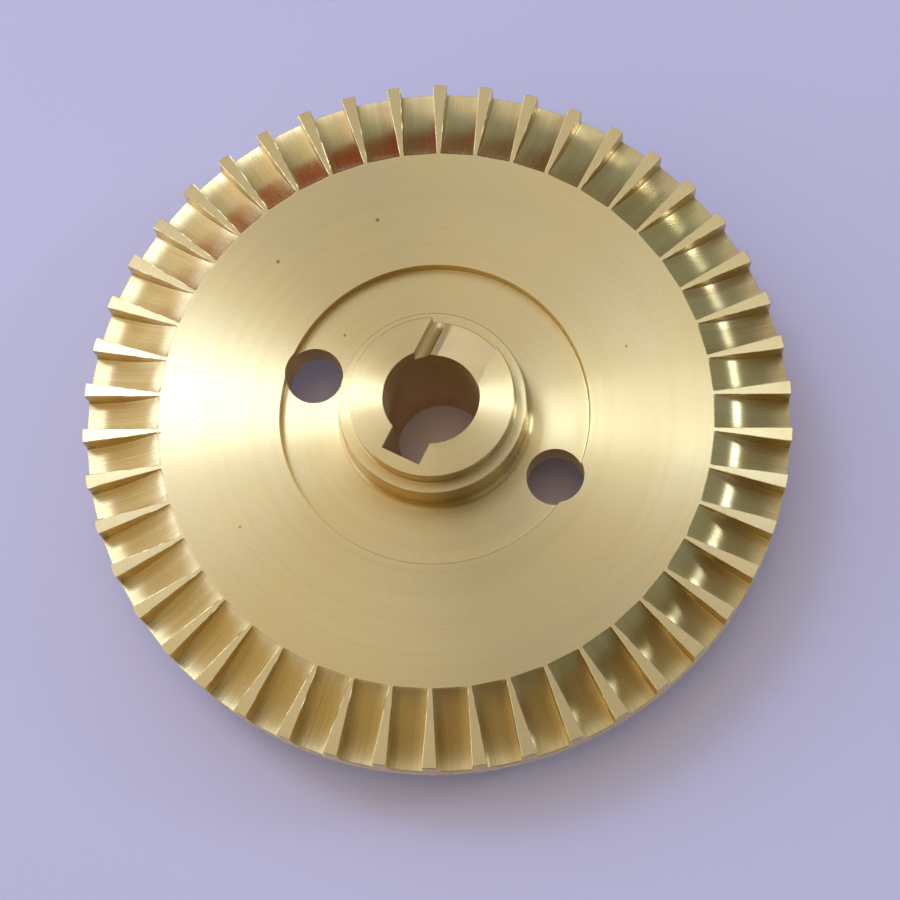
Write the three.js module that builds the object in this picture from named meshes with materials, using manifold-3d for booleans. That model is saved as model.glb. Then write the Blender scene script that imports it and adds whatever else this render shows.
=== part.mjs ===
// Impeller of a peripheral (regenerative turbine) pump, turned and milled from one piece of brass.
// A disc carries a ring of short radial vanes on its front. Each face has a shallow recess round a hub, and
// the hub has a keyed bore for the pump shaft.
//
// Millimetres. +Z is the bore axis and points out of the front hub face. The origin is on that axis, in the
// rear hub face, where the impeller stands. The keyway points along -Y.

import * as THREE from 'three';
import { mergeVertices } from 'three/addons/utils/BufferGeometryUtils.js';
import Module from 'manifold-3d';

// ---- Driving dimensions --------------------------------------------------------------------------------

const OUTER_RADIUS = 45;
const HUB_LENGTH = 24;
const FRONT_HUB_HEIGHT = 6.7;
const DISC_THICKNESS = 6.5;

const BORE_RADIUS = 6;
const KEYWAY_WIDTH = 5;
const KEYWAY_DEPTH = 2.4;

// The front hub has a boss that steps in above a shoulder. The rear hub is as wide as the shoulder.
const BOSS_RADIUS = 10.3;
const BOSS_STEP = 2.5;
const SHOULDER_RADIUS = 11.75;
const ROOT_FILLET = 1;
const FILLET_STEPS = 2;

const RECESS_RADIUS = 19.65;
const FRONT_RECESS_DEPTH = 1.4;
const REAR_RECESS_DEPTH = 0.7;

const VANE_COUNT = 46;
const POCKET_WIDTH = 4.3;
const POCKET_DEPTH = 3.1;
const POCKET_INNER_RADIUS = 35.15;
const FIRST_POCKET_ANGLE = THREE.MathUtils.degToRad(2.2);

// The shallow slot is milled across one side of the front boss only, opposite the keyway.
const SLOT_WIDTH = 9;
const SLOT_DEPTH = 2.2;

// The two through holes are drilled near the edge of the recess, not quite opposite each other.
const HOLE_RADIUS = 3.65;
const HOLES = [
  { radius: 17.3, angle: THREE.MathUtils.degToRad(-2.5) },
  { radius: 16.4, angle: THREE.MathUtils.degToRad(187.1) },
];

// ---- Values worked out from them -----------------------------------------------------------------------

const MID_LENGTH = HUB_LENGTH / 2;
const FRONT_FACE = HUB_LENGTH - FRONT_HUB_HEIGHT;
const REAR_FACE = FRONT_FACE - DISC_THICKNESS;
const PITCH_ANGLE = (2 * Math.PI) / VANE_COUNT;

// Each hub's steps from its root outwards, as a radius and a height out of the disc's face.
const FRONT_HUB = [
  [SHOULDER_RADIUS, FRONT_HUB_HEIGHT - BOSS_STEP],
  [BOSS_RADIUS, FRONT_HUB_HEIGHT],
];
const REAR_HUB = [[SHOULDER_RADIUS, REAR_FACE]];

// The cutter is a wheel whose lowest point is over the rim and which meets the face at the pocket's inner end.
const POCKET_REACH = OUTER_RADIUS - POCKET_INNER_RADIUS;
const CUTTER_RADIUS = (POCKET_REACH ** 2 + POCKET_DEPTH ** 2) / (2 * POCKET_DEPTH);
const CUTTER_SIDES = 60;

// Two turned facets to a vane pitch, so that each vane tip is one facet wide.
const TURNED_SIDES = 2 * VANE_COUNT;
const HOLE_SIDES = 40;

// How far a cutting tool runs past the metal.
const OVERCUT = 2;

// ---- Helpers -------------------------------------------------------------------------------------------

const wasm = await Module();
wasm.setup();

function toSolid(geometry) {
  const bare = geometry.clone();
  bare.deleteAttribute('normal');
  bare.deleteAttribute('uv');
  const merged = mergeVertices(bare, 1e-4);
  const mesh = new wasm.Mesh({
    numProp: 3,
    vertProperties: new Float32Array(merged.attributes.position.array),
    triVerts: new Uint32Array(merged.index.array),
  });
  return new wasm.Manifold(mesh);
}

function toGeometry(solid) {
  const mesh = solid.getMesh();
  const geometry = new THREE.BufferGeometry();
  geometry.setAttribute('position', new THREE.BufferAttribute(mesh.vertProperties, 3));
  geometry.setIndex(new THREE.BufferAttribute(mesh.triVerts, 1));
  geometry.computeVertexNormals();
  return geometry;
}

// One side of the blank's section, from the rim in to the bore. Each point is a radius and a height out of
// that side's face.
function sideSection(recessDepth, hub) {
  const root = hub[0][0];
  const points = [[OUTER_RADIUS, 0], [RECESS_RADIUS, 0], [RECESS_RADIUS, -recessDepth]];
  for (let step = 0; step <= FILLET_STEPS; step += 1) {
    const turn = (step / FILLET_STEPS) * (Math.PI / 2);
    const radius = root + ROOT_FILLET * (1 - Math.sin(turn));
    points.push([radius, -recessDepth + ROOT_FILLET * (1 - Math.cos(turn))]);
  }
  hub.forEach(([radius, height], index) => {
    const innerRadius = index + 1 < hub.length ? hub[index + 1][0] : BORE_RADIUS;
    points.push([radius, height], [innerRadius, height]);
  });
  return points;
}

// ---- Solids --------------------------------------------------------------------------------------------

// The turned blank: a closed ring section swept round the axis.
function turnedBlank() {
  const front = sideSection(FRONT_RECESS_DEPTH, FRONT_HUB)
    .map(([radius, height]) => new THREE.Vector2(radius, FRONT_FACE + height));
  const rear = sideSection(REAR_RECESS_DEPTH, REAR_HUB)
    .map(([radius, height]) => new THREE.Vector2(radius, REAR_FACE - height));
  const outline = [...front, ...rear.reverse()];
  outline.push(outline[0].clone());
  const blank = new THREE.LatheGeometry(outline, TURNED_SIDES);
  blank.rotateX(Math.PI / 2);
  blank.rotateZ(FIRST_POCKET_ANGLE);
  return toSolid(blank);
}

// One milled pocket: the cutting wheel lies across the radius, over the rim on the front of the disc.
function pocketCutter(index) {
  const wheel = new THREE.CylinderGeometry(CUTTER_RADIUS, CUTTER_RADIUS, POCKET_WIDTH, CUTTER_SIDES);
  wheel.translate(OUTER_RADIUS, 0, FRONT_FACE - POCKET_DEPTH + CUTTER_RADIUS);
  wheel.rotateZ(FIRST_POCKET_ANGLE + index * PITCH_ANGLE);
  return toSolid(wheel);
}

function keywayCutter() {
  const reach = BORE_RADIUS + KEYWAY_DEPTH;
  const cutter = new THREE.BoxGeometry(KEYWAY_WIDTH, reach, HUB_LENGTH + 2 * OVERCUT);
  cutter.translate(0, -reach / 2, MID_LENGTH);
  return toSolid(cutter);
}

function bossSlotCutter() {
  const reach = BOSS_RADIUS + OVERCUT;
  const cutter = new THREE.BoxGeometry(SLOT_WIDTH, reach, SLOT_DEPTH + OVERCUT);
  cutter.translate(0, reach / 2, HUB_LENGTH - SLOT_DEPTH + (SLOT_DEPTH + OVERCUT) / 2);
  return toSolid(cutter);
}

function holeCutter({ radius, angle }) {
  const drill = new THREE.CylinderGeometry(HOLE_RADIUS, HOLE_RADIUS, HUB_LENGTH, HOLE_SIDES);
  drill.rotateX(Math.PI / 2);
  drill.translate(radius * Math.cos(angle), radius * Math.sin(angle), MID_LENGTH);
  return toSolid(drill);
}

function impellerSolid() {
  let solid = turnedBlank().subtract(keywayCutter()).subtract(bossSlotCutter());
  for (const hole of HOLES) {
    solid = solid.subtract(holeCutter(hole));
  }
  for (let index = 0; index < VANE_COUNT; index += 1) {
    solid = solid.subtract(pocketCutter(index));
  }
  return solid;
}

// ---- The part ------------------------------------------------------------------------------------------

const brass = new THREE.MeshStandardMaterial({ color: 0xd3bd74, roughness: 0.3, metalness: 1 });

const impeller = new THREE.Mesh(toGeometry(impellerSolid()), brass);
impeller.name = 'impeller';

const part = new THREE.Group();
part.add(impeller);

export default part;
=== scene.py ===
# Looks of the brass pump impeller: one fine mesh that stands for the CAD node, with turned, milled
# and drilled brass materials, on a plain pale floor in soft studio light.
import math

import bmesh
import bpy
import numpy as np
from mathutils import Matrix, Vector


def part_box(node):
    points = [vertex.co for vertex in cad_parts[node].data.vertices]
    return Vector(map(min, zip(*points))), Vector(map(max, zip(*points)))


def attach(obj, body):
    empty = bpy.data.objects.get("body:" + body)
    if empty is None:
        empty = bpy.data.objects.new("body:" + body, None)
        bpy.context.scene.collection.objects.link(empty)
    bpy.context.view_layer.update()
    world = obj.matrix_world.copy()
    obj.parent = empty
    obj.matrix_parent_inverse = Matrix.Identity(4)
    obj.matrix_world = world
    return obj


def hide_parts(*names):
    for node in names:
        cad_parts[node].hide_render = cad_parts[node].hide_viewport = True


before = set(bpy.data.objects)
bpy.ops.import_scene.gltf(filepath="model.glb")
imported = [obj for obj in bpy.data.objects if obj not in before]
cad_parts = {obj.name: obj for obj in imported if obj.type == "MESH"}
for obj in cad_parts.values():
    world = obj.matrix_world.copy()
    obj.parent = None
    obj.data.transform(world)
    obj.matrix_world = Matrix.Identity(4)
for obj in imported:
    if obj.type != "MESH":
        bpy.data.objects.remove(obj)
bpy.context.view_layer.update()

CAD_LOW, CAD_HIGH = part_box("impeller")
MM = 0.001

# ---- Sizes, in metres ----------------------------------------------------------------------------
# The rim and the hub length come from the CAD box. The rest repeats the part's driving dimensions.

RIM = (CAD_HIGH.x - CAD_LOW.x) / 2
HUB_LENGTH = CAD_HIGH.z - CAD_LOW.z
FRONT_HUB_HEIGHT = 6.7 * MM
DISC_THICKNESS = 6.5 * MM
POCKET_DEPTH = 3.1 * MM
FACE = HUB_LENGTH - FRONT_HUB_HEIGHT
REAR_FACE = FACE - DISC_THICKNESS
WEB = FACE - POCKET_DEPTH

BORE_RADIUS = 6 * MM
BOSS_RADIUS = 10.3 * MM
BOSS_STEP = 2.5 * MM
SHOULDER_RADIUS = 11.75 * MM
ROOT_FILLET = 1 * MM
RECESS_RADIUS = 19.65 * MM
FRONT_RECESS_DEPTH = 1.4 * MM
REAR_RECESS_DEPTH = 0.7 * MM

# Each side's recess depth, and its hub's steps as a radius and a height out of the disc's face.
BOSS_HEIGHT = HUB_LENGTH - FACE
FRONT_HUB = [(SHOULDER_RADIUS, BOSS_HEIGHT - BOSS_STEP), (BOSS_RADIUS, BOSS_HEIGHT)]
FRONT_SIDE = (FRONT_RECESS_DEPTH, FRONT_HUB)
REAR_SIDE = (REAR_RECESS_DEPTH, [(SHOULDER_RADIUS, REAR_FACE)])

VANE_COUNT = 46
PITCH = 2 * math.pi / VANE_COUNT
FIRST_POCKET = math.radians(2.2)
HALF_POCKET = 2.15 * MM
POCKET_START = 35.15 * MM
POCKET_REACH = RIM - POCKET_START
CUTTER_RADIUS = (POCKET_REACH**2 + (FACE - WEB) ** 2) / (2 * (FACE - WEB))

KEYWAY_WIDTH = 5 * MM
KEYWAY_REACH = 8.4 * MM

# The slot across the front boss has a groove along its left wall and a ridge beside the groove.
SLOT_WIDTH = 9 * MM
SLOT_DEPTH = 2.2 * MM
SLOT_CORNER = 0.25 * MM
GROOVE_X = -3.95 * MM
GROOVE_DEPTH = 0.28 * MM
RIDGE_X = -2.9 * MM
RIDGE_RISE = 0.35 * MM
RIDGE_SLOPE = math.radians(24)

HOLE_RADIUS = 3.65 * MM
HOLES = [(17.3 * MM, math.radians(-2.5)), (16.4 * MM, math.radians(187.1))]

# Broken edges and inside corners that the plain CAD solid leaves out. Where a pocket is shallow,
# they are at most CORNER_SHARE of its depth.
VANE_BREAK = 0.09 * MM
CORNER_RADIUS = 0.3 * MM
CORNER_SHARE = 0.35
EDGE_BREAK = 0.14 * MM
RECESS_CORNER = 0.25 * MM
STEP_CORNER = 0.2 * MM
MOUTH_BREAK = 0.1 * MM
CUT_BREAK = 0.1 * MM

# Burrs along the vane edges, higher where the cutter came out than where it went in, and how far
# they keep from a vane's inner end and from its tip.
BURR_OUT = 0.1 * MM
BURR_IN = 0.045 * MM
BURR_LIMIT = 0.07 * MM
BURR_START = 0.4 * MM
BURR_END = 0.2 * MM

# Nicks in the same edges: their depth, and the noise above which there is one.
NICK = 0.06 * MM
NICK_THRESHOLD = 0.985

# Where the rear face's rings begin: outside it, each vane pitch has one flat piece.
REAR_START = 42 * MM

# Radii in millimetres of the extra rings on the level faces.
FACE_RINGS = (34.4, 31, 27, 23)
REAR_FACE_RING = 38
RECESS_RINGS = (18.2, 16.8, 15.4, 14.0)
HUB_RINGS = (9.0, 7.8, 6.8)

# How finely a vane pitch is divided.
FLOOR_COLUMNS = 2
CORNER_STEPS = 2
WALL_STEPS = 3
TOP_COLUMNS = 3
POCKET_ROWS = 30
HOLE_SIDES = 120
BORE_RINGS = 9

# Points closer than MERGE_DISTANCE become one, edges shorter than LEAST_EDGE go, and angles closer
# than LEAST_TURN are the same.
MERGE_DISTANCE = 0.5e-6
LEAST_EDGE = 1e-7
LEAST_TURN = 1e-7

# Edges that turn more than SHARP_ANGLE stay sharp. A face is level if its normal's z is past LEVEL.
SHARP_ANGLE = math.radians(38)
LEVEL = 0.99999

# Finishes, as the order of the piece's materials.
TURNED, POCKET, EDGE, DRILLED, SLOTTED = range(5)


# ---- Mesh helpers --------------------------------------------------------------------------------


class Shell:
    """The points and faces of patches. Patches join where their points are the same."""

    def __init__(self):
        self.points = []
        self.faces = []
        self.finishes = []

    def grid(self, points, flip, finish=TURNED):
        """points is rows x columns x 3. flip turns the faces round. finish is one number, or one
        for each face."""
        rows, columns = points.shape[:2]
        start = len(self.points)
        self.points.extend(points.reshape(-1, 3).tolist())
        for i in range(rows - 1):
            for j in range(columns - 1):
                a = start + i * columns + j
                face = (a, a + 1, a + columns + 1, a + columns)
                self.faces.append(face[::-1] if flip else face)
        self.finishes.extend(np.broadcast_to(finish, (rows - 1, columns - 1)).ravel().tolist())

    def polygon(self, points, flip):
        start = len(self.points)
        self.points.extend(np.asarray(points).tolist())
        face = tuple(range(start, start + len(points)))
        self.faces.append(face[::-1] if flip else face)
        self.finishes.append(TURNED)

    def mesh(self, name, materials):
        mesh = bpy.data.meshes.new(name)
        mesh.from_pydata(self.points, [], self.faces)
        for material in materials:
            mesh.materials.append(material)
        mesh.polygons.foreach_set("material_index", self.finishes)
        work = bmesh.new()
        work.from_mesh(mesh)
        bmesh.ops.remove_doubles(work, verts=work.verts, dist=MERGE_DISTANCE)
        bmesh.ops.dissolve_degenerate(work, edges=work.edges, dist=LEAST_EDGE)
        work.to_mesh(mesh)
        work.free()
        return mesh


def to_xyz(radius, angle, height):
    """Polar points as x, y, z."""
    radius, angle, height = np.broadcast_arrays(radius, angle, height)
    return np.stack([radius * np.cos(angle), radius * np.sin(angle), height], axis=-1)


# ---- The vane ring -------------------------------------------------------------------------------


def floor_height(u):
    """Height of a pocket's arc floor at the distance u from the axis."""
    inside = np.maximum(CUTTER_RADIUS**2 - (RIM - u) ** 2, 0)
    return np.minimum(WEB + CUTTER_RADIUS - np.sqrt(inside), FACE)


def half_section(low, inset=0.0):
    """Half of a pocket's section, from the middle of its floor at height low to the top of the vane
    beside it, as (offset, height) rows. inset moves it into the metal."""
    depth = FACE - low
    corner = min(CORNER_RADIUS, CORNER_SHARE * depth)
    edge = min(VANE_BREAK, CORNER_SHARE * depth)
    points = [(HALF_POCKET - corner) * j / FLOOR_COLUMNS for j in range(FLOOR_COLUMNS + 1)]
    points = [(offset, low - inset) for offset in points]
    for step in range(1, CORNER_STEPS + 1):
        turn = step / CORNER_STEPS * math.pi / 2
        reach = corner + inset
        offset = HALF_POCKET - corner + reach * math.sin(turn)
        points.append((offset, low + corner - reach * math.cos(turn)))
    top = FACE - edge
    for step in range(1, WALL_STEPS + 1):
        share = step / WALL_STEPS
        points.append((HALF_POCKET + inset, low + corner + (top - low - corner) * share))
    for step in range(1, CORNER_STEPS + 1):
        turn = step / CORNER_STEPS * math.pi / 2
        reach = max(edge - inset, 0.0)
        points.append((HALF_POCKET + edge - reach * math.cos(turn), top + reach * math.sin(turn)))
    return np.array(points)


def sector_row(section, distance):
    """One row of a vane pitch, from pocket middle to pocket middle, as (radius, angle, height).
    distance gives how far out a point at some offset lies, along the pocket's middle line."""
    u = distance(section[:, 0])
    radius = np.hypot(u, section[:, 0])
    angle = np.arctan2(section[:, 0], u)
    half = np.stack([radius, angle, section[:, 1]], axis=1)
    mirrored = half[::-1] * [1, -1, 1] + [0, PITCH, 0]
    top_angles = np.linspace(half[-1, 1], mirrored[0, 1], TOP_COLUMNS + 1)[1:-1]
    top = np.array([[half[-1, 0], a, half[-1, 2]] for a in top_angles])
    return np.concatenate([half, top, mirrored])


def ring_rows():
    """All rows of a vane pitch, from just inside the pockets to just inside the rim."""
    inner = POCKET_START - VANE_BREAK / 2
    start = POCKET_START + VANE_BREAK / 2
    rim = RIM - VANE_BREAK
    rows = [sector_row(half_section(FACE), lambda offset: np.full_like(offset, inner))]
    for share in np.linspace(0, 1, POCKET_ROWS + 1):

        def distance(offset, share=share):
            return start + share * (np.sqrt(rim**2 - offset**2) - start)

        low = float(floor_height(distance(np.array([HALF_POCKET]))[0]))
        rows.append(sector_row(half_section(low), distance))
    return np.array(rows)


def rim_row():
    """The line where the rim's cylinder meets the broken edges of a vane pitch."""
    return sector_row(half_section(WEB, VANE_BREAK), lambda offset: np.sqrt(RIM**2 - offset**2))


def ring_finishes(row_count):
    """The finish of each face of a vane pitch, from the inner end to the broken rim edge."""
    floor_and_wall = [POCKET] * (FLOOR_COLUMNS + CORNER_STEPS + WALL_STEPS)
    half = floor_and_wall + [EDGE] * CORNER_STEPS
    finishes = np.array([half + [TURNED] * TOP_COLUMNS + half[::-1]] * (row_count - 1))
    finishes[0, finishes[0] == POCKET] = EDGE
    finishes[-1] = EDGE
    return finishes


def add_vanes(shell):
    """Adds the vane ring and the rim below it, down to the rear face."""
    edge = rim_row()
    first_wall = FLOOR_COLUMNS + CORNER_STEPS
    top_start = first_wall + WALL_STEPS + CORNER_STEPS
    foot = REAR_FACE + EDGE_BREAK
    stations = np.append(edge[first_wall : first_wall + WALL_STEPS + 1, 2][::-1], foot)
    tip_angles = edge[top_start : top_start + TOP_COLUMNS + 1, 1]
    rows = np.concatenate([RING, edge[None]])
    outer_angles = edge[different(edge[:, 1]), 1]
    inner_angles = RING[0][different(RING[0][:, 1]), 1]
    rounded = np.array(arc((RIM - EDGE_BREAK, foot), EDGE_BREAK, 0, -90, 3))
    for index in range(VANE_COUNT):
        turn = FIRST_POCKET + index * PITCH
        ring = to_xyz(rows[..., 0], rows[..., 1] + turn, rows[..., 2])
        shell.grid(ring, True, ring_finishes(len(rows)))
        shell.grid(to_xyz(RIM, tip_angles + turn, stations[:, None]), True)
        for mirror in (1, -1):
            line = edge[: first_wall + 1] * [1, mirror, 1]
            under = to_xyz(RIM, line[:, 1] + turn, np.stack([line[:, 2], np.full(len(line), foot)]))
            shell.grid(under, mirror > 0)
        shell.grid(to_xyz(rounded[:, :1], outer_angles + turn, rounded[:, 1:]), True)
        outer = to_xyz(rounded[-1, 0], outer_angles + turn, REAR_FACE)
        inner = to_xyz(REAR_START, inner_angles + turn, REAR_FACE)
        shell.polygon(np.concatenate([outer, inner[::-1]]), True)


def different(angles):
    """The numbers of the points whose angles are different from the one before."""
    later = [i for i in range(1, len(angles)) if angles[i] - angles[i - 1] > LEAST_TURN]
    return [0] + later


def inner_end():
    """Angles and radii of the different points along the inner end of the vane ring, once round and
    closed."""
    row = RING[0]
    keep = different(row[:, 1])[:-1]
    turns = FIRST_POCKET + PITCH * np.arange(VANE_COUNT)[:, None]
    all_angles = (row[keep, 1] + turns).ravel()
    all_radii = np.tile(row[keep, 0], VANE_COUNT)
    return np.append(all_angles, all_angles[0] + 2 * math.pi), np.append(all_radii, all_radii[0])


# ---- The turned disc and hub ---------------------------------------------------------------------


def arc(centre, radius, start, end, steps):
    """Points of an arc in the section plane, from start to end in degrees, both ends included."""
    turns = np.radians(np.linspace(start, end, steps + 1))
    return [(centre[0] + radius * math.cos(t), centre[1] + radius * math.sin(t)) for t in turns]


def side_profile(side):
    """Half of one side's turned section, from the recess's edge in to the bore's mouth, as rows of
    a radius and a height out of that side's face."""
    recess_depth, hub = side
    e = EDGE_BREAK
    c = RECESS_CORNER
    points = arc((RECESS_RADIUS + e, -e), e, 90, 180, 3)
    points += arc((RECESS_RADIUS - c, c - recess_depth), c, 0, -90, 4)
    points += [(r * MM, -recess_depth) for r in RECESS_RINGS]
    foot = ROOT_FILLET - recess_depth
    points += arc((SHOULDER_RADIUS + ROOT_FILLET, foot), ROOT_FILLET, -90, -180, 8)
    for index, (radius, height) in enumerate(hub):
        points += [(radius, level) for level in np.linspace(foot, height - e, 4)[1:-1]]
        points += arc((radius - e, height - e), e, 0, 90, 3)
        if index + 1 < len(hub):
            foot = height + STEP_CORNER
            points += arc((hub[index + 1][0] + STEP_CORNER, foot), STEP_CORNER, -90, -180, 3)
    points += [(r * MM, height) for r in HUB_RINGS]
    c = MOUTH_BREAK
    points += arc((BORE_RADIUS + c, height - c), c, 90, 180, 2)
    return np.array(points)


def add_disc(shell):
    """Both turned sides and the bore's wall."""
    angles, radii = inner_end()
    flat = np.array([(r * MM, 0) for r in FACE_RINGS])
    front = np.concatenate([flat, side_profile(FRONT_SIDE)])
    edge = to_xyz(radii, angles, FACE)
    turned_front = to_xyz(front[:, :1], angles, FACE + front[:, 1:])
    shell.grid(np.concatenate([edge[None], turned_front]), False)
    outer = [(REAR_START, 0), (REAR_FACE_RING * MM, 0)]
    rear = np.concatenate([outer, flat, side_profile(REAR_SIDE)])
    shell.grid(to_xyz(rear[:, :1], angles, REAR_FACE - rear[:, 1:]), True)
    bore = np.linspace(HUB_LENGTH - MOUTH_BREAK, MOUTH_BREAK, BORE_RINGS)
    shell.grid(to_xyz(BORE_RADIUS, angles, bore[:, None]), False, DRILLED)


# ---- Cuts ----------------------------------------------------------------------------------------


def prism(outline, levels, finish, materials):
    """A closed upright cutter. levels is a list of (height, growth), and growth widens the outline
    there."""
    outline = np.asarray(outline, float)
    away = np.sign(outline - outline.mean(axis=0))
    count = len(outline)
    points = [(x, y, height) for height, growth in levels for x, y in outline + away * growth]
    faces = [tuple(range(count))[::-1]]
    for level in range(len(levels) - 1):
        for j in range(count):
            a = level * count + j
            b = level * count + (j + 1) % count
            faces.append((a, b, b + count, a + count))
    faces.append(tuple(range((len(levels) - 1) * count, len(levels) * count)))
    return cutter_object(points, faces, finish, materials)


def lying_prism(section, start, end, finish, materials):
    """A closed cutter whose section, in x and z, runs along y from start to end."""
    count = len(section)
    points = [(x, y, z) for y in (start, end) for x, z in section]
    faces = [(j, (j + 1) % count, (j + 1) % count + count, j + count)[::-1] for j in range(count)]
    faces += [tuple(range(count)), tuple(range(count, 2 * count))[::-1]]
    return cutter_object(points, faces, finish, materials)


def cutter_object(points, faces, finish, materials):
    mesh = bpy.data.meshes.new("cutter")
    mesh.from_pydata(points, [], faces)
    for material in materials:
        mesh.materials.append(material)
    mesh.polygons.foreach_set("material_index", [finish] * len(faces))
    work = bmesh.new()
    work.from_mesh(mesh)
    bmesh.ops.recalc_face_normals(work, faces=work.faces)
    work.to_mesh(mesh)
    work.free()
    cutter = bpy.data.objects.new("cutter", mesh)
    bpy.context.scene.collection.objects.link(cutter)
    return cutter


def keyway_cutter(materials):
    half = KEYWAY_WIDTH / 2
    outline = [(-half, -KEYWAY_REACH), (half, -KEYWAY_REACH), (half, 0), (-half, 0)]
    e = CUT_BREAK
    levels = [(-e, 2 * e), (e, 0), (HUB_LENGTH - e, 0), (HUB_LENGTH + e, 2 * e)]
    return prism(outline, levels, DRILLED, materials)


def slot_cutter(materials):
    """The slot across the front boss, with its groove and ridge."""
    half = SLOT_WIDTH / 2
    above = HUB_LENGTH + 1 * MM
    start_y = -0.3 * MM
    end_y = BOSS_RADIUS + 1.2 * MM
    floor = HUB_LENGTH - SLOT_DEPTH
    run = RIDGE_X - GROOVE_X
    rise = RIDGE_RISE + GROOVE_DEPTH
    radius = (run**2 + rise**2) / (2 * rise)
    centre = (GROOVE_X, floor - GROOVE_DEPTH + radius)
    start = -90 + math.degrees(math.asin((-half - GROOVE_X) / radius))
    end = -90 + math.degrees(math.asin(run / radius))
    section = [(-half, above), *arc(centre, radius, start, end, 10)]
    section += [(RIDGE_X + RIDGE_RISE / math.tan(RIDGE_SLOPE), floor)]
    section += arc((half - SLOT_CORNER, floor + SLOT_CORNER), SLOT_CORNER, -90, 0, 3)
    section += [(half, above)]
    return lying_prism(section, start_y, end_y, SLOTTED, materials)


def hole_cutter(radius, angle, materials):
    centre = np.array([radius * math.cos(angle), radius * math.sin(angle)])
    turns = 2 * math.pi * np.arange(HOLE_SIDES) / HOLE_SIDES
    outline = centre + HOLE_RADIUS * np.stack([np.cos(turns), np.sin(turns)], axis=1)
    return prism(outline, [(0, 0), (HUB_LENGTH, 0)], DRILLED, materials)


def cut(piece, cutter):
    modifier = piece.modifiers.new("cut", "BOOLEAN")
    modifier.operation = "DIFFERENCE"
    modifier.solver = "EXACT"
    modifier.object = cutter
    apply_modifiers(piece)
    bpy.data.objects.remove(cutter)


def apply_modifiers(piece):
    graph = bpy.context.evaluated_depsgraph_get()
    made = bpy.data.meshes.new_from_object(piece.evaluated_get(graph))
    piece.modifiers.clear()
    piece.data = made


# ---- Wear and tool marks on the mesh -------------------------------------------------------------


def pocket_frame(points):
    """Each point in its nearest pocket's own frame: the pocket's number, u along the pocket's
    middle line, v across it, and the pocket's angle."""
    angle = np.arctan2(points[:, 1], points[:, 0]) - FIRST_POCKET
    number = np.round(angle / PITCH)
    turn = number * PITCH + FIRST_POCKET
    u = points[:, 0] * np.cos(turn) + points[:, 1] * np.sin(turn)
    v = -points[:, 0] * np.sin(turn) + points[:, 1] * np.cos(turn)
    return number.astype(int) % VANE_COUNT, u, v, turn


def wavering(position, number, seed, pitch):
    """Smooth noise from 0 to 1 along position, different for each number."""
    table = np.random.default_rng(seed).random((VANE_COUNT, 64))
    at = np.clip(position / pitch, 0, 62.999)
    low = at.astype(int)
    share = at - low
    share = share * share * (3 - 2 * share)
    return table[number, low] * (1 - share) + table[number, low + 1] * share


def raise_burrs(mesh):
    """Lifts a fine ragged burr along the vane edges, more on the side where the cutter came out,
    and adds nicks."""
    points = np.zeros(len(mesh.vertices) * 3)
    mesh.vertices.foreach_get("co", points)
    points = points.reshape(-1, 3)
    number, u, v, turn = pocket_frame(points)
    offset = np.abs(v) - HALF_POCKET
    along = u - POCKET_START
    edge = (offset > 0.1 * VANE_BREAK) & (offset < 0.6 * VANE_BREAK)
    edge &= points[:, 2] > FACE - VANE_BREAK
    edge &= (along > BURR_START) & (u < RIM - BURR_END)
    ragged = np.clip(wavering(along, number, seed=5, pitch=0.42 * MM) * 1.5 - 0.35, 0, 1)
    patchy = np.clip(wavering(along, number, seed=6, pitch=1.9 * MM) * 2 - 0.4, 0, 1)
    burr = np.where(v > 0, BURR_OUT, BURR_IN) * ragged * patchy
    nick = (wavering(along, number, seed=8, pitch=0.8 * MM) > NICK_THRESHOLD) * NICK
    move = np.where(edge, burr - nick, 0)
    outward = -np.sign(v) * 0.6
    points[:, 0] += move * outward * -np.sin(turn)
    points[:, 1] += move * outward * np.cos(turn)
    points[:, 2] += np.minimum(move * 0.8, BURR_LIMIT)
    mesh.vertices.foreach_set("co", points.ravel())
    mesh.update()


def store_tool_marks(mesh):
    """Two vectors at each face corner. marks holds coordinates that change across the tool marks,
    in metres, and the pocket's number. across is the surface direction that runs across them."""
    count = len(mesh.loops)
    corner_vertex = np.zeros(count, int)
    mesh.loops.foreach_get("vertex_index", corner_vertex)
    points = np.zeros(len(mesh.vertices) * 3)
    mesh.vertices.foreach_get("co", points)
    points = points.reshape(-1, 3)[corner_vertex]
    normals = face_normals(mesh)
    number, u, v, turn = pocket_frame(points)
    from_wheel = np.stack([u - RIM, points[:, 2] - WEB - CUTTER_RADIUS], axis=1)
    reach = np.linalg.norm(from_wheel, axis=1)
    radial = np.stack([np.cos(turn), np.sin(turn), np.zeros(count)], axis=1)
    sideways = np.stack([-np.sin(turn), np.cos(turn), np.zeros(count)], axis=1)
    outward = radial * from_wheel[:, :1] + np.array([0, 0, 1]) * from_wheel[:, 1:]
    outward = outward / np.maximum(reach, 1e-9)[:, None]
    on_wall = np.abs((normals * sideways).sum(axis=1)) > 0.7
    across = np.where(on_wall[:, None], outward, sideways)
    marks = np.stack([v, reach, number], axis=1)
    for name, values in (("marks", marks), ("across", across)):
        attribute = mesh.attributes.new(name, "FLOAT_VECTOR", "CORNER")
        attribute.data.foreach_set("vector", values.astype(np.float32).ravel())


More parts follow.
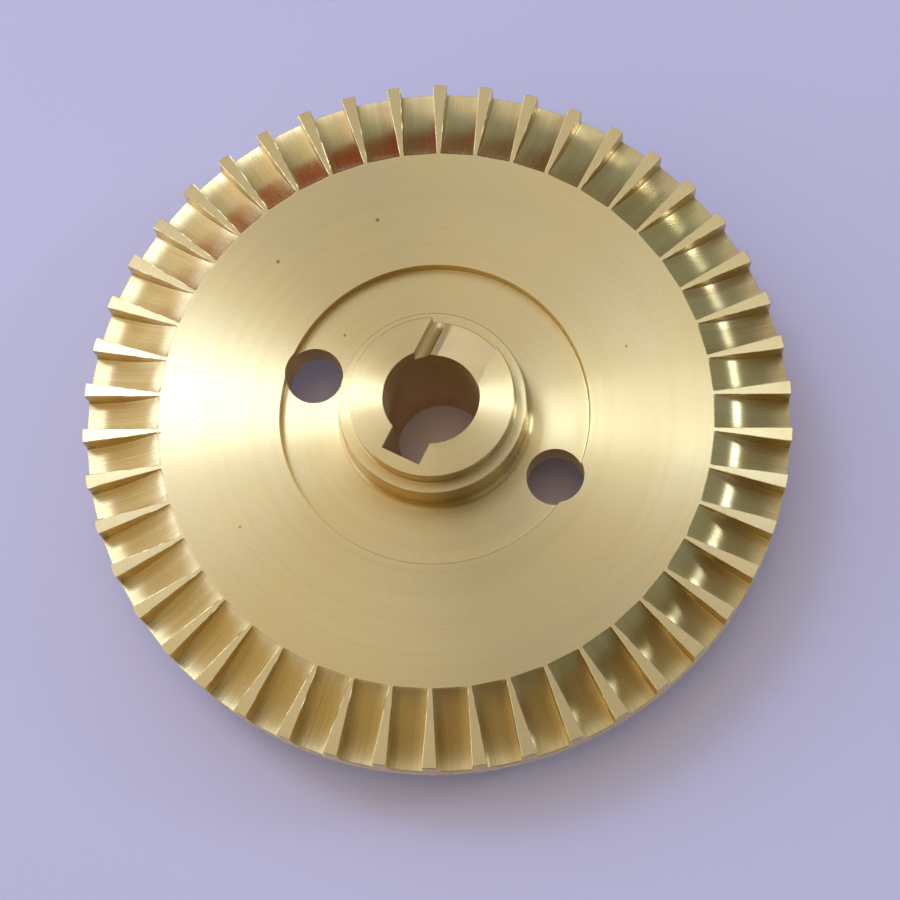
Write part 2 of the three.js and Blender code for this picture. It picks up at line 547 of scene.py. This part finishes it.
def set_shading(piece):
    """Smooth shading with sharp corners. Level faces stay flat up to their broken edges."""
    piece.data.shade_smooth()
    piece.data.set_sharp_from_angle(angle=SHARP_ANGLE)
    modifier = piece.modifiers.new("weighted", "WEIGHTED_NORMAL")
    modifier.keep_sharp = True
    modifier.weight = 90
    apply_modifiers(piece)
    mesh = piece.data
    corners = np.zeros(len(mesh.loops) * 3)
    mesh.corner_normals.foreach_get("vector", corners)
    corners = corners.reshape(-1, 3)
    faces = face_normals(mesh)
    level = np.abs(faces[:, 2]) > LEVEL
    corners[level] = faces[level]
    mesh.normals_split_custom_set(corners.tolist())


def face_normals(mesh):
    """The normal of each face corner's face."""
    count = len(mesh.polygons)
    sizes = np.zeros(count, int)
    mesh.polygons.foreach_get("loop_total", sizes)
    normals = np.zeros(count * 3)
    mesh.polygons.foreach_get("normal", normals)
    return np.repeat(normals.reshape(-1, 3), sizes, axis=0)


# ---- Materials -----------------------------------------------------------------------------------


class Nodes:
    """Adds shader nodes to a tree and joins them up."""

    def __init__(self, tree):
        self.tree = tree

    def add(self, kind, inputs=None, output=0, **settings):
        """A node's output socket. inputs maps socket names or numbers to sockets or values."""
        made = self.tree.nodes.new("ShaderNode" + kind)
        for name, value in settings.items():
            setattr(made, name, value)
        for key, value in (inputs or {}).items():
            if isinstance(value, bpy.types.NodeSocket):
                self.tree.links.new(value, made.inputs[key])
            else:
                made.inputs[key].default_value = value
        return made.outputs[output]

    def math(self, operation, a, b=0.0, c=0.0):
        return self.add("Math", {0: a, 1: b, 2: c}, operation=operation)

    def vector(self, operation, a, b=(0.0, 0.0, 0.0), output=0):
        return self.add("VectorMath", {0: a, 1: b}, output, operation=operation)

    def ramp(self, value, low, high, to_low=0.0, to_high=1.0):
        inputs = {0: value, 1: low, 2: high, 3: to_low, 4: to_high}
        return self.add("MapRange", inputs, interpolation_type="SMOOTHSTEP")

    def noise(self, vector, scale, detail=2.0, dimensions="3D", w=None):
        inputs = {"Vector": vector, "Scale": scale, "Detail": detail}
        if w is not None:
            inputs["W"] = w
        return self.add("TexNoise", inputs, noise_dimensions=dimensions)

    def mix(self, factor, a, b):
        return self.add("MixRGB", {0: factor, 1: a, 2: b})


BRASS = (0.82, 0.65, 0.33, 1)
BRASS_PALE = (0.85, 0.70, 0.40, 1)
BRASS_WARM = (0.76, 0.54, 0.22, 1)
TARNISH = (0.30, 0.20, 0.09, 1)
STAIN = (0.47, 0.25, 0.11, 1)

# Waves in a metre across the marks of the lathe and of the milling cutter, and of the fine grain.
TURNED_FINE = 2600
TURNED_FEED = 750
MILLED_FINE = 6500
MILLED_WIDE = 1500
GRAIN = 2200

# How deep each finish's bumps are.
TURNED_RELIEF = 0.006 * MM
MILLED_RELIEF = 0.004 * MM
EDGE_RELIEF = 0.01 * MM
BORED_RELIEF = 0.003 * MM


def brass(name, roughness, anisotropic):
    """An empty brass material: its nodes helper and its shader."""
    material = bpy.data.materials.new(name)
    material.use_nodes = True
    material.diffuse_color = BRASS
    material.metallic = 1
    material.roughness = roughness
    tree = material.node_tree
    tree.nodes.clear()
    output = tree.nodes.new("ShaderNodeOutputMaterial")
    shader = tree.nodes.new("ShaderNodeBsdfPrincipled")
    tree.links.new(shader.outputs[0], output.inputs[0])
    shader.inputs["Metallic"].default_value = 1
    shader.inputs["Anisotropic"].default_value = anisotropic
    return material, Nodes(tree), shader


def finish_shader(nodes, shader, colour, roughness, height, distance, tangent=None):
    """Joins the colour, roughness, bump and tangent up to the shader."""
    links = nodes.tree.links
    links.new(colour, shader.inputs["Base Color"])
    links.new(roughness, shader.inputs["Roughness"])
    bump = nodes.add("Bump", {"Height": height, "Distance": distance, "Strength": 0.5})
    links.new(bump, shader.inputs["Normal"])
    if tangent is not None:
        links.new(tangent, shader.inputs["Tangent"])


def scratches(nodes, position, angle):
    """Thin short straight marks in one direction, 1 on a mark and 0 elsewhere."""
    size = (5 * MM, 0.11 * MM, 20 * MM)
    mapping = {"Vector": position, "Rotation": (0, 0, angle), "Scale": size}
    lines = nodes.noise(nodes.add("Mapping", mapping, vector_type="TEXTURE"), 1.0, 1.0)
    return nodes.ramp(lines, 0.79, 0.82)


def specks(nodes, position, scale, size, share):
    """Small round spots in some cells of a grid, 1 on a spot."""
    inputs = {"Vector": position, "Scale": scale, "Randomness": 1.0}
    near = nodes.add("TexVoronoi", inputs)
    chance = nodes.add("SeparateColor", {0: nodes.add("TexVoronoi", inputs, "Color")})
    spot = nodes.ramp(near, size, size * 0.6)
    return nodes.math("MULTIPLY", spot, nodes.math("GREATER_THAN", chance, 1 - share))


def turned_brass():
    """Rings round the axis, cut on a lathe: the gloss spreads across them."""
    material, nodes, shader = brass("turned_brass", roughness=0.27, anisotropic=1.0)
    position = nodes.add("TexCoord", output="Object")
    flat = nodes.vector("MULTIPLY", position, (1, 1, 0))
    radius = nodes.vector("LENGTH", flat, output="Value")
    outward = nodes.vector("NORMALIZE", flat)
    height = nodes.add("SeparateXYZ", {0: position}, "Z")
    along = nodes.math("ADD", radius, nodes.math("MULTIPLY", height, 1.37))
    fine = nodes.noise(outward, 0.5, 1.0, "4D", nodes.math("MULTIPLY", along, TURNED_FINE))
    feed = nodes.noise(outward, 0.25, 2.0, "4D", nodes.math("MULTIPLY", along, TURNED_FEED))
    mottle = nodes.noise(position, 55, 3.0)
    grain = nodes.noise(position, GRAIN, 1.0)
    marks = nodes.math("MAXIMUM", scratches(nodes, position, 0.5), scratches(nodes, position, 2.1))
    spots = specks(nodes, position, scale=330, size=0.10, share=0.05)
    colour = nodes.mix(nodes.ramp(mottle, 0.35, 0.7), BRASS, BRASS_PALE)
    fine_lines = nodes.math("MULTIPLY", nodes.ramp(fine, 0.45, 0.7), 0.18)
    colour = nodes.mix(fine_lines, colour, BRASS_WARM)
    colour = nodes.mix(nodes.ramp(grain, 0.35, 0.75, 0.0, 0.16), colour, BRASS_WARM)
    colour = nodes.mix(nodes.math("MULTIPLY", spots, 0.85), colour, TARNISH)
    rough = nodes.ramp(mottle, 0.3, 0.7, 0.25, 0.29)
    ringing = nodes.math("MULTIPLY", nodes.math("SUBTRACT", feed, 0.5), 0.08)
    rough = nodes.math("ADD", rough, ringing)
    rough = nodes.math("ADD", rough, nodes.math("MULTIPLY", marks, 0.12))
    fine_relief = nodes.math("MULTIPLY", fine, 0.5)
    relief = nodes.math("ADD", fine_relief, nodes.math("MULTIPLY", feed, 2.2))
    relief = nodes.math("ADD", relief, nodes.math("MULTIPLY", grain, 0.14))
    relief = nodes.math("SUBTRACT", relief, nodes.math("MULTIPLY", marks, 0.3))
    normal = nodes.add("NewGeometry", output="Normal")
    round_axis = nodes.vector("CROSS_PRODUCT", (0, 0, 1), outward)
    tangent = nodes.vector("CROSS_PRODUCT", round_axis, normal)
    finish_shader(nodes, shader, colour, rough, relief, TURNED_RELIEF, tangent)
    return material


def milled_brass():
    """The pockets' floors and walls, with marks along the path of the cutting wheel."""
    material, nodes, shader = brass("milled_brass", roughness=0.28, anisotropic=1.0)
    position = nodes.add("TexCoord", output="Object")
    marks = nodes.add("Attribute", output="Vector", attribute_name="marks")
    across = nodes.add("Attribute", output="Vector", attribute_name="across")
    fine_scale = (MILLED_FINE, MILLED_FINE, 31)
    wide_scale = (MILLED_WIDE, MILLED_WIDE, 17)
    fine = nodes.noise(nodes.vector("MULTIPLY", marks, fine_scale), 1.0, 2.0)
    wide = nodes.noise(nodes.vector("MULTIPLY", marks, wide_scale), 1.0, 2.0)
    mottle = nodes.noise(position, 160, 3.0)
    spots = specks(nodes, position, scale=260, size=0.11, share=0.05)
    fine_share = nodes.math("MULTIPLY", fine, 0.6)
    streak = nodes.math("ADD", fine_share, nodes.math("MULTIPLY", wide, 0.4))
    colour = nodes.mix(nodes.ramp(mottle, 0.35, 0.7), BRASS, BRASS_PALE)
    colour = nodes.mix(nodes.ramp(streak, 0.42, 0.66, 0.0, 0.3), colour, BRASS_WARM)
    patina = nodes.noise(nodes.vector("MULTIPLY", marks, (300, 120, 3.7)), 1.0, 2.0)
    colour = nodes.mix(nodes.ramp(patina, 0.52, 0.75, 0.0, 0.4), colour, STAIN)
    colour = nodes.mix(nodes.math("MULTIPLY", spots, 0.8), colour, TARNISH)
    rough = nodes.ramp(streak, 0.3, 0.7, 0.25, 0.31)
    finish_shader(nodes, shader, colour, rough, streak, MILLED_RELIEF, across)
    return material


def edge_brass():
    """Broken edges and burrs: nearly plain."""
    material, nodes, shader = brass("edge_brass", roughness=0.36, anisotropic=0.0)
    position = nodes.add("TexCoord", output="Object")
    grain = nodes.noise(position, 2600, 2.0)
    colour = nodes.mix(grain, BRASS, BRASS_PALE)
    rough = nodes.ramp(grain, 0.3, 0.7, 0.3, 0.42)
    finish_shader(nodes, shader, colour, rough, grain, EDGE_RELIEF)
    return material


def bored_brass(name, scale, stain, anisotropic=0.0):
    """The walls of the bore, keyway and holes, or the slot. scale stretches the marks, and stain is
    how brown they are. anisotropic spreads the gloss along the axis."""
    material, nodes, shader = brass(name, 0.4, anisotropic)
    position = nodes.add("TexCoord", output="Object")
    lines = nodes.noise(nodes.vector("MULTIPLY", position, scale), 1.0, 2.0)
    mottle = nodes.noise(position, 300, 3.0)
    colour = nodes.mix(nodes.ramp(mottle, 0.35, 0.7), BRASS, BRASS_PALE)
    colour = nodes.mix(nodes.ramp(lines, 0.45, 0.7, 0.0, 0.2), colour, BRASS_WARM)
    colour = nodes.mix(nodes.ramp(mottle, 0.25, 0.75, 0.6 * stain, stain), colour, STAIN)
    tangent = nodes.add("CombineXYZ", {"Z": 1.0}) if anisotropic else None
    rough = nodes.ramp(mottle, 0.3, 0.7, 0.36, 0.46)
    finish_shader(nodes, shader, colour, rough, lines, BORED_RELIEF, tangent)
    return material


def floor_material():
    material = bpy.data.materials.new("pale_floor")
    material.use_nodes = True
    nodes = Nodes(material.node_tree)
    shader = material.node_tree.nodes["Principled BSDF"]
    position = nodes.add("TexCoord", output="Object")
    mottle = nodes.noise(position, 9, 3.0)
    colour = nodes.mix(mottle, (0.58, 0.56, 0.80, 1), (0.62, 0.60, 0.84, 1))
    material.node_tree.links.new(colour, shader.inputs["Base Color"])
    shader.inputs["Roughness"].default_value = 0.38
    return material


# ---- The piece -----------------------------------------------------------------------------------

MATERIALS = [
    turned_brass(),
    milled_brass(),
    edge_brass(),
    bored_brass("drilled_brass", (300, 300, 9000), stain=0.4, anisotropic=0.8),
    bored_brass("slotted_brass", (7000, 250, 7000), stain=0.25),
]
RING = ring_rows()


def make_impeller():
    shell = Shell()
    add_vanes(shell)
    add_disc(shell)
    piece = bpy.data.objects.new("impeller_body", shell.mesh("impeller_body", MATERIALS))
    bpy.context.scene.collection.objects.link(piece)
    raise_burrs(piece.data)
    cut(piece, keyway_cutter(MATERIALS))
    cut(piece, slot_cutter(MATERIALS))
    for radius, angle in HOLES:
        cut(piece, hole_cutter(radius, angle, MATERIALS))
    set_shading(piece)
    store_tool_marks(piece.data)
    return piece


impeller = make_impeller()
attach(impeller, "root")
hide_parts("impeller")


# ---- Floor, light and camera ---------------------------------------------------------------------

# The camera's place and the point it looks at, in millimetres from the centre of the front face, to
# the picture's right, up in the picture and out of the face.
PICTURE_TURN = math.radians(26)
CAMERA_PLACE = (16.3, -75.9, 255.2)
LOOK_AT = (2.0, -5.05, 0.0)
LENS = 84.4
SENSOR = 36

FLOOR_HALF = 3.0
FLOOR_GAP = 0.02 * MM

# The lamps: name, azimuth and elevation in degrees, width, height, watts and colour.
LAMPS = [
    ("window", 13, 36.5, 0.07, 0.12, 0.56, (0.74, 0.87, 1.0)),
    ("key", 142, 61, 0.20, 0.115, 0.60, (0.58, 0.74, 1.0)),
]
LAMP_DISTANCE = 0.8

# The room's sides: azimuth and elevation in degrees, how far from there a side is full and where it
# is gone, and its colour. The later ones lie over the earlier ones.
ROOM_COLOUR = (0.37, 0.35, 0.29, 1)
ROOM = [
    (72, 38, 24, 50, (0.31, 0.38, 0.40)),
    (282, 35, 34, 74, (0.11, 0.08, 0.038)),
    (174, 40, 26, 56, (0.92, 0.86, 0.76)),
    (226, 50, 8, 38, (0.52, 0.40, 0.20)),
    (35, 14, 20, 50, (0.27, 0.32, 0.30)),
    (322, 18, 14, 32, (0.25, 0.29, 0.27)),
    (90, 3, 14, 34, (0.15, 0.10, 0.07)),
    (121, 8, 17, 22, (0.25, 0.05, 0.03)),
    (100, 67, 14, 29, (0.74, 0.74, 0.74)),
    (141, 63, 8, 12, (1.6, 1.7, 2.0)),
    (158, 3, 12, 17, (1.9, 2.2, 3.0)),
    (178, 5, 12, 17, (1.9, 2.2, 3.0)),
    (200, 6, 12, 17, (1.6, 1.85, 2.5)),
]
BACKDROP = (0.62, 0.60, 0.80, 1)

# Only diffuse light takes these, so they light the floor and not the metal: what the room's colours
# are multiplied by, and a soft patch overhead, full and gone at these angles from straight up.
FLOOR_LIGHT = (0.93, 1.16, 1.70)
FLOOR_ZENITH = (4.2, 2.9, 1.5, 1)
ZENITH_FULL = math.radians(11)
ZENITH_GONE = math.radians(17)


def direction(azimuth, elevation):
    """A unit vector. Azimuth is counted from the picture's right-hand side."""
    a = math.radians(azimuth) + PICTURE_TURN
    e = math.radians(elevation)
    return Vector((math.cos(a) * math.cos(e), math.sin(a) * math.cos(e), math.sin(e)))


def turned(offset):
    """An offset given in the picture's directions, in the part's own frame."""
    return Matrix.Rotation(PICTURE_TURN, 3, "Z") @ Vector(offset)


def make_floor():
    steps = np.linspace(-FLOOR_HALF, FLOOR_HALF, 7)
    floor = Shell()
    x, y = np.meshgrid(steps, steps, indexing="ij")
    floor.grid(np.stack([x, y, np.full_like(x, CAD_LOW.z - FLOOR_GAP)], axis=-1), False)
    piece = bpy.data.objects.new("floor", floor.mesh("floor", [floor_material()]))
    bpy.context.scene.collection.objects.link(piece)


def area_light(name, azimuth, elevation, width, height, watts, colour):
    """A soft box facing the part. Its width lies along the picture's width as far as it can."""
    light = bpy.data.lights.new(name, "AREA")
    light.shape = "RECTANGLE"
    light.size = width
    light.size_y = height
    light.energy = watts
    light.color = colour
    lamp = bpy.data.objects.new(name, light)
    back = direction(azimuth, elevation)
    up = back.cross(direction(0, 0)).normalized()
    facing = Matrix((up.cross(back), up, back)).transposed()
    place = Vector((0, 0, HUB_LENGTH / 2)) + back * LAMP_DISTANCE
    lamp.matrix_world = Matrix.Translation(place) @ facing.to_4x4()
    lamp.visible_camera = False
    bpy.context.scene.collection.objects.link(lamp)


def make_world():
    """Soft light all round: a plain room with brighter and darker sides."""
    world = bpy.data.worlds.new("studio")
    bpy.context.scene.world = world
    world.use_nodes = True
    tree = world.node_tree
    nodes = Nodes(tree)
    ray = nodes.add("TexCoord", output="Generated")
    colour = ROOM_COLOUR
    for azimuth, elevation, full, gone, side_colour in ROOM:
        side = tuple(direction(azimuth, elevation))
        near = nodes.vector("DOT_PRODUCT", ray, side, output="Value")
        share = nodes.ramp(near, math.cos(math.radians(gone)), math.cos(math.radians(full)))
        colour = nodes.mix(share, colour, (*side_colour, 1))
    spread = nodes.add("LightPath", output="Is Diffuse Ray")
    up = nodes.add("SeparateXYZ", {0: ray}, "Z")
    above = nodes.ramp(up, math.cos(ZENITH_GONE), math.cos(ZENITH_FULL))
    on_floor = nodes.mix(above, nodes.vector("MULTIPLY", colour, FLOOR_LIGHT), FLOOR_ZENITH)
    colour = nodes.mix(spread, colour, on_floor)
    seen = nodes.add("LightPath", output="Is Camera Ray")
    background = tree.nodes["Background"].inputs["Color"]
    tree.links.new(nodes.mix(seen, colour, BACKDROP), background)


def make_camera():
    """A camera at the photograph's viewing angle, turned and rolled to look at the part."""
    face_centre = Vector((0, 0, FACE))
    place = face_centre + turned(CAMERA_PLACE) * MM
    look_at = face_centre + turned(LOOK_AT) * MM
    square = Matrix.Rotation(PICTURE_TURN, 3, "Z")
    tilt = Vector((0, 0, 1)).rotation_difference((place - look_at).normalized()).to_matrix()
    lens = bpy.data.cameras.new("camera")
    lens.sensor_width = SENSOR
    lens.lens = LENS
    lens.clip_start = 0.01
    lens.clip_end = 20
    camera = bpy.data.objects.new("camera", lens)
    camera.matrix_world = Matrix.Translation(place) @ (tilt @ square).to_4x4()
    bpy.context.scene.collection.objects.link(camera)
    bpy.context.scene.camera = camera


make_floor()
make_world()
for lamp in LAMPS:
    area_light(*lamp)
make_camera()
bpy.context.scene.view_settings.view_transform = "Standard"
